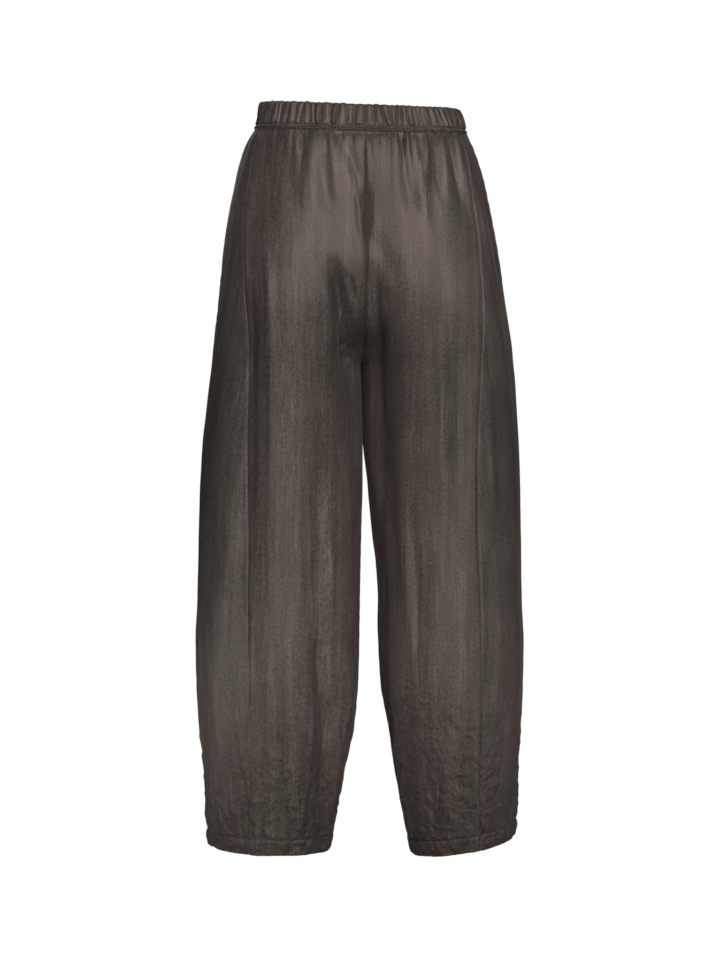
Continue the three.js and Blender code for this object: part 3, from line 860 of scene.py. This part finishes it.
# Pocket facings
# Behind each side pocket's mouth lies the front edge of the pocket bag: a strip of plain, matt
# cloth sewn inside along the side and front seam. Only a sliver shows where the mouth gapes.
FACING_HALF_WIDTH = 14.0
FACING_SET_IN = 2.6
FACING_CLOTH = 1.0
FACING_ENDS = 8.0
FACING_SEARCH = 18.0


def facing_grid(leg):
    """Points of the strip behind one pocket mouth, with its cloth coordinates in mm."""
    rows = np.arange(POCKET_TOP + FACING_ENDS, POCKET_BOTTOM - FACING_ENDS, -2.6)
    s = leg_section(leg, rows)
    wide = s["seams"][2] + np.linspace(-FACING_SEARCH, FACING_SEARCH, 241)[None, :]
    run = run_along(*section_points(s, wide))
    run -= run[:, 120:121]
    offsets = np.linspace(-FACING_HALF_WIDTH, FACING_HALF_WIDTH, 13)
    degrees = np.stack([np.interp(offsets, run[i], wide[i]) for i in range(len(rows))])
    x, y = section_points(s, degrees)
    z = s["z"] + lift(leg, x, y, s)
    base = np.stack([(-1 if leg == "left" else 1) * x, y, z], axis=2)
    normals = grid_normals(base, leg)
    along = np.interp(s["seams"][2][0, 0], *waist_half[leg]) + offsets[None, :]
    depth = gather_depths(leg, along, s["z"] + 0 * along) + fold_depths(base, normals)
    return base + normals * (np.minimum(depth, 0.0) - FACING_SET_IN)[..., None], offsets, s["z"]


def pocket_cloth(name):
    """Plain matt twill, darker than the satin."""
    material, tree, shader = new_material(name)
    uv = add_node(tree, "ShaderNodeUVMap", {"uv_map": "cloth"}, {})[0]
    u, v, _ = add_node(tree, "ShaderNodeSeparateXYZ", {}, {"Vector": uv})
    rib = ((u + v) * 9000.0).math("SINE")
    place = add_node(tree, "ShaderNodeCombineXYZ", {}, {"X": u * 600.0, "Y": v * 600.0, "Z": 0.0})[0]
    fibre = add_node(tree, "ShaderNodeTexNoise", {}, {"Vector": place, "Scale": 1.0, "Detail": 3.0})[0]
    dark, light = (0.030, 0.025, 0.022, 1.0), (0.046, 0.038, 0.034, 1.0)
    tone = mixed(tree, fibre.between(0.3, 0.7), dark, light)
    tree.links.new(tone.socket, shader.inputs["Base Color"])
    bump = add_node(tree, "ShaderNodeBump", {}, {
        "Strength": 0.3, "Distance": 0.0002, "Height": rib * 0.5 + fibre,
    })[0]
    tree.links.new(bump.socket, shader.inputs["Normal"])
    shader.inputs["Roughness"].default_value = 0.85
    return material


for leg_name in ("left", "right"):
    points, across, down = facing_grid(leg_name)
    behind = points - grid_normals(points, leg_name) * FACING_CLOTH
    piece = shell_piece(
        f"facing_strip_{leg_name}", points, behind,
        across[None, :] + 0 * down, down + 0 * across[None, :], leg_name,
    )
    piece.data.materials.append(pocket_cloth(f"pocket_cloth_{leg_name}"))
    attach(piece, "root")
    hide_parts(f"pocket_facing_{leg_name}")

# Gathered waistband
# One long strip of the satin is folded over wide elastic and sewn down, so it gathers into small
# upright pleats all round. Two rows of stitches close it just above the panels, and the cloth
# between them stands out as a puckered cord.
PLEATS = 76
PLEAT_DEPTH = 3.2
PLEAT_SEED = 5
CORD_PUCKER = 0.7
CORD_PUCKER_LENGTH = 3.9
CLOTH_TO_RING = 1.45
BAND_TOP_RISE = 0.6
BAND_HALF_WIDTH = 134.0
BAND_TOP_TILT = 1.3 / BAND_HALF_WIDTH
RING_COLUMNS = 1140
BAND_PROFILE = np.array([
    # height, how far it stands out, share of the pleats' depth, share of the cord's puckers
    [-15.2, -4.6, 0.10, 0.0], [-16.0, -3.4, 0.15, 0.0], [-16.2, -1.6, 0.25, 0.2],
    [-15.9, -0.4, 0.30, 0.5], [-15.5, -0.3, 0.30, 0.6], [-14.9, -1.2, 0.20, 0.3],
    [-14.2, -0.1, 0.15, 0.7], [-13.5, 0.6, 0.15, 1.0], [-12.7, 0.9, 0.15, 1.0],
    [-11.9, 0.6, 0.15, 1.0], [-11.1, -0.1, 0.15, 0.7], [-10.4, -1.2, 0.15, 0.3],
    [-9.6, -0.1, 0.30, 0.6], [-8.8, 0.3, 0.50, 0.4], [-7.6, 0.4, 0.80, 0.2],
    [-6.0, 0.4, 0.95, 0.0], [-4.0, 0.4, 1.00, 0.0], [-1.5, 0.4, 1.00, 0.0],
    [1.5, 0.4, 1.00, 0.0], [4.5, 0.4, 1.00, 0.0], [7.5, 0.4, 1.00, 0.0],
    [10.5, 0.3, 1.00, 0.0], [12.8, 0.1, 0.95, 0.0], [14.4, -0.3, 0.90, 0.0],
    [15.4, -0.8, 0.80, 0.0], [16.1, -1.7, 0.70, 0.0], [16.3, -2.7, 0.60, 0.0],
    [15.9, -3.8, 0.50, 0.0], [14.6, -4.6, 0.50, 0.0], [11.0, -4.9, 0.55, 0.0],
    [5.0, -4.9, 0.60, 0.0], [-1.0, -4.9, 0.60, 0.0], [-7.0, -4.8, 0.45, 0.0],
    [-11.5, -4.7, 0.20, 0.0],
])


def ring_points(turns, rows):
    """Points of the waist line at turns from 0 to 2 (right half, then left half) and heights."""
    right_turns = turns < 1
    points = np.empty((len(rows), len(turns), 3))
    for leg, chosen in (("right", right_turns), ("left", ~right_turns)):
        s = leg_section(leg, rows)
        share = turns[chosen] if leg == "right" else 2 - turns[chosen]
        degrees = np.tile(-90 + 360 * share, (len(rows), 1))
        x, y = section_points(s, degrees)
        outward = 1 if leg == "right" else -1
        points[:, chosen] = np.stack([outward * x, y, s["z"] + lift(leg, x, y, s)], axis=2)
    return points


fine_turns = np.linspace(0, 2, 4001)[:-1]
fine_ring = ring_points(fine_turns, np.array([0.0]))[0]
fine_run = np.concatenate([[0], np.cumsum(np.linalg.norm(np.roll(fine_ring, -1, 0) - fine_ring, axis=1))])
RING_LENGTH = fine_run[-1]
ring_run = np.arange(RING_COLUMNS) * RING_LENGTH / RING_COLUMNS
ring_turns = np.interp(ring_run, fine_run, np.append(fine_turns, 2.0))
ring_turns = np.minimum(ring_turns, 2 - 1e-6)


def pleat_shape(run, height):
    """0 in the sharp valleys and about 1 on the rounded pleats, which vary and lean."""
    rng = np.random.default_rng(PLEAT_SEED)
    widths = rng.uniform(0.55, 1.5, PLEATS)
    edges = np.concatenate([[0], np.cumsum(widths)]) / widths.sum() * RING_LENGTH
    lean_phase = rng.uniform(0, 6.28, 3)
    turn = 2 * math.pi * run / RING_LENGTH
    lean = np.sin(9 * turn + lean_phase[0]) + 0.8 * np.sin(17 * turn + lean_phase[1])
    wander = 0.5 * np.sin(31 * turn + lean_phase[2] + height / 5)
    shifted = (run + 1.1 * lean * height / 16 + wander) % RING_LENGTH
    phase = np.interp(shifted, edges, np.arange(PLEATS + 1))
    number = np.minimum(phase.astype(int), PLEATS - 1)
    tall = rng.uniform(0.5, 1.15, PLEATS)[number]
    fade = 1 + 0.3 * np.sin(height / 8 + rng.uniform(0, 6.28, PLEATS)[number])
    return np.abs(np.sin(math.pi * phase)) ** 0.7 * tall * fade


def band_grid():
    """Points of the waistband in mm, rows round its profile and columns round the waist."""
    height, out, pleat_share, pucker_share = (BAND_PROFILE[:, k:k + 1] for k in range(4))
    base = ring_points(ring_turns, BAND_PROFILE[:, 0])
    across = np.roll(base, -1, axis=1) - np.roll(base, 1, axis=1)
    normals = np.cross(np.broadcast_to([0.0, 0.0, -1.0], base.shape), across)
    normals /= np.linalg.norm(normals, axis=2, keepdims=True)
    run = ring_run[None, :]
    shape = pleat_shape(run, height)
    pucker = np.sin(2 * math.pi * run / CORD_PUCKER_LENGTH + 0.9 * height + 2 * np.sin(run / 23))
    stands = out + PLEAT_DEPTH * pleat_share * (shape - 0.5) + CORD_PUCKER * pucker_share * pucker
    grid = base + normals * stands[..., None]
    grid[..., 2] += np.where(height > 14, 0.9 * (shape - 0.5), 0.0)
    grid[..., 2] += smooth(height / 16) * (BAND_TOP_RISE - BAND_TOP_TILT * grid[..., 0])
    return grid, normals


def ring_piece(name, grid):
    """A closed ring whose section is the grid's rows and whose columns run round the waist."""
    rows, columns = grid.shape[:2]
    index = np.arange(rows * columns).reshape(rows, columns)
    up = np.roll(index, -1, axis=0)
    faces = np.stack([index, np.roll(index, -1, axis=1), np.roll(up, -1, axis=1), up], axis=-1).reshape(-1, 4)
    run = np.arange(columns + 1) * RING_LENGTH * CLOTH_TO_RING / columns / 1000
    steps = np.linalg.norm(np.roll(BAND_PROFILE[:, :2], -1, 0) - BAND_PROFILE[:, :2], axis=1)
    depth = np.concatenate([[0], np.cumsum(steps)]) / 1000
    u = np.stack([run[:-1], run[1:], run[1:], run[:-1]], axis=-1)[None]
    v = np.stack([depth[:-1], depth[:-1], depth[1:], depth[1:]], axis=-1)[:, None]
    shape = (rows, columns, 4)
    cloth = np.stack([np.broadcast_to(u, shape), np.broadcast_to(v, shape)], axis=-1)
    return cloth_piece(name, grid.reshape(-1, 3), faces, cloth)


band_points, band_normals = band_grid()
band = ring_piece("gathered_band", band_points)
band.data.materials.append(satin("satin_band", 17.0))
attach(band, "root")
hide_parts("waistband")

# Stitches
# Close lockstitches in matching thread: two rows round the waistband and one row round each hem,
# 20 mm above its edge. Each stitch is a short rounded length of thread sunk at its ends.
WAIST_ROWS = (-10.4, -14.9)
WAIST_PITCH = 3.1
HEM_PITCH = 3.2
STITCH_LENGTH = 2.5
STITCH_WIDTH = 0.8
STITCH_HEIGHT = 0.6
STITCH_LIFT = 0.12
OBJECT_OUTPUT = 3


def stitches_along(line, outward, pitch, closed):
    """Middles, directions and outward directions of stitches along a line of points in mm."""
    if closed:
        line = np.concatenate([line, line[:1]])
        outward = np.concatenate([outward, outward[:1]])
    run = np.concatenate([[0], np.cumsum(np.linalg.norm(np.diff(line, axis=0), axis=1))])
    count = int(run[-1] / pitch)
    middles = (np.arange(count) + 0.5) * run[-1] / count
    half = 0.45 * pitch

    def at(where, values):
        return np.stack([np.interp(where, run, values[:, k]) for k in range(3)], axis=1)

    ahead, behind = at(middles + half, line), at(middles - half, line)
    return (ahead + behind) / 2, ahead - behind, at(middles, outward)


def stitch_tree(thread):
    """A node tree that sets one rounded stitch on every point, turned along its row."""
    tree = bpy.data.node_groups.new("stitches", "GeometryNodeTree")
    tree.interface.new_socket("Geometry", in_out="INPUT", socket_type="NodeSocketGeometry")
    sizes = {}
    for name, value in (("Length", STITCH_LENGTH), ("Width", STITCH_WIDTH), ("Height", STITCH_HEIGHT)):
        sizes[name] = tree.interface.new_socket(name, in_out="INPUT", socket_type="NodeSocketFloat")
        sizes[name].default_value = value / 1000
    tree.interface.new_socket("Geometry", in_out="OUTPUT", socket_type="NodeSocketGeometry")
    node = tree.nodes.new
    given, made = node("NodeGroupInput"), node("NodeGroupOutput")
    ball = node("GeometryNodeMeshUVSphere")
    ball.inputs["Segments"].default_value = 6
    ball.inputs["Rings"].default_value = 4
    ball.inputs["Radius"].default_value = 0.5
    size = node("ShaderNodeCombineXYZ")
    for place, name in enumerate(("Length", "Width", "Height")):
        tree.links.new(given.outputs[name], size.inputs[place])
    turned = node("GeometryNodeTransform")
    turned.inputs["Rotation"].default_value = (0.0, math.pi / 2, 0.0)
    out, along = node("GeometryNodeInputNamedAttribute"), node("GeometryNodeInputNamedAttribute")
    for attribute, name in ((out, "out"), (along, "along")):
        attribute.data_type = "FLOAT_VECTOR"
        attribute.inputs["Name"].default_value = name
    upright, forward = node("FunctionNodeAlignRotationToVector"), node("FunctionNodeAlignRotationToVector")
    upright.axis = "Z"
    forward.axis = "X"
    forward.pivot_axis = "Z"
    instances = node("GeometryNodeInstanceOnPoints")
    real, smooth_faces = node("GeometryNodeRealizeInstances"), node("GeometryNodeSetShadeSmooth")
    dressed = node("GeometryNodeSetMaterial")
    dressed.inputs["Material"].default_value = thread
    for source, output, target, slot in (
        (ball, "Mesh", turned, "Geometry"),
        (out, "Attribute", upright, "Vector"),
        (upright, "Rotation", forward, "Rotation"),
        (along, "Attribute", forward, "Vector"),
        (given, "Geometry", instances, "Points"),
        (turned, "Geometry", instances, "Instance"),
        (forward, "Rotation", instances, "Rotation"),
        (size, "Vector", instances, "Scale"),
        (instances, "Instances", real, "Geometry"),
        (real, "Geometry", smooth_faces, "Geometry"),
        (smooth_faces, "Geometry", dressed, "Geometry"),
        (dressed, "Geometry", made, "Geometry"),
    ):
        tree.links.new(source.outputs[output], target.inputs[slot])
    return tree


def stitch_piece(name, rows, tree):
    """One piece of all the stitches in some rows."""
    middles, along, out = (np.concatenate(part) for part in zip(*rows))
    mesh = bpy.data.meshes.new(name)
    mesh.vertices.add(len(middles))
    mesh.vertices.foreach_set("co", (middles / 1000).ravel())
    for attribute, values in (("along", along), ("out", out)):
        layer = mesh.attributes.new(attribute, "FLOAT_VECTOR", "POINT")
        layer.data.foreach_set("vector", np.ascontiguousarray(values).ravel())
    piece = place_object(name, mesh)
    modifier = piece.modifiers.new("stitches", "NODES")
    modifier.node_group = tree
    view = bpy.context.evaluated_depsgraph_get()
    finished = bpy.data.meshes.new_from_object(piece.evaluated_get(view), depsgraph=view)
    piece.modifiers.clear()
    piece.data = finished
    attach(piece, "root")


def thread_material():
    """Polyester thread with a fine twist, a little lighter than the satin."""
    material, tree, shader = new_material("thread")
    place = add_node(tree, "ShaderNodeTexCoord", {}, {})[OBJECT_OUTPUT]
    noise = add_node(tree, "ShaderNodeTexNoise", {}, {"Vector": place, "Scale": 1500.0, "Detail": 2.0})[0]
    dark, light = (0.115, 0.093, 0.083, 1.0), (0.170, 0.142, 0.128, 1.0)
    tone = mixed(tree, noise.between(0.35, 0.65), dark, light)
    tree.links.new(tone.socket, shader.inputs["Base Color"])
    bump = add_node(tree, "ShaderNodeBump", {}, {"Strength": 0.4, "Distance": 0.0001, "Height": noise})[0]
    tree.links.new(bump.socket, shader.inputs["Normal"])
    shader.inputs["Roughness"].default_value = 0.45
    return material


stitches = stitch_tree(thread_material())
waist_rows = []
for row_height in WAIST_ROWS:
    k = int(np.argmin(np.abs(BAND_PROFILE[:, 0] - row_height) + 9 * (BAND_PROFILE[:, 1] < -2)))
    line = band_points[k] + band_normals[k] * STITCH_LIFT
    waist_rows.append(stitches_along(line, band_normals[k], WAIST_PITCH, True))
stitch_piece("waist_stitches", waist_rows, stitches)

hem_row = int(np.argmin(np.abs(panel_rows - (HEM + HEM_DEPTH))))
for leg_name in ("left", "right"):
    rows_here = []
    for panel_name in PANELS:
        points, directions = panel_points[f"{panel_name}_{leg_name}"]
        line = points[hem_row] + directions[hem_row] * STITCH_LIFT
        rows_here.append(stitches_along(line, directions[hem_row], HEM_PITCH, False))
    stitch_piece(f"hem_stitches_{leg_name}", rows_here, stitches)
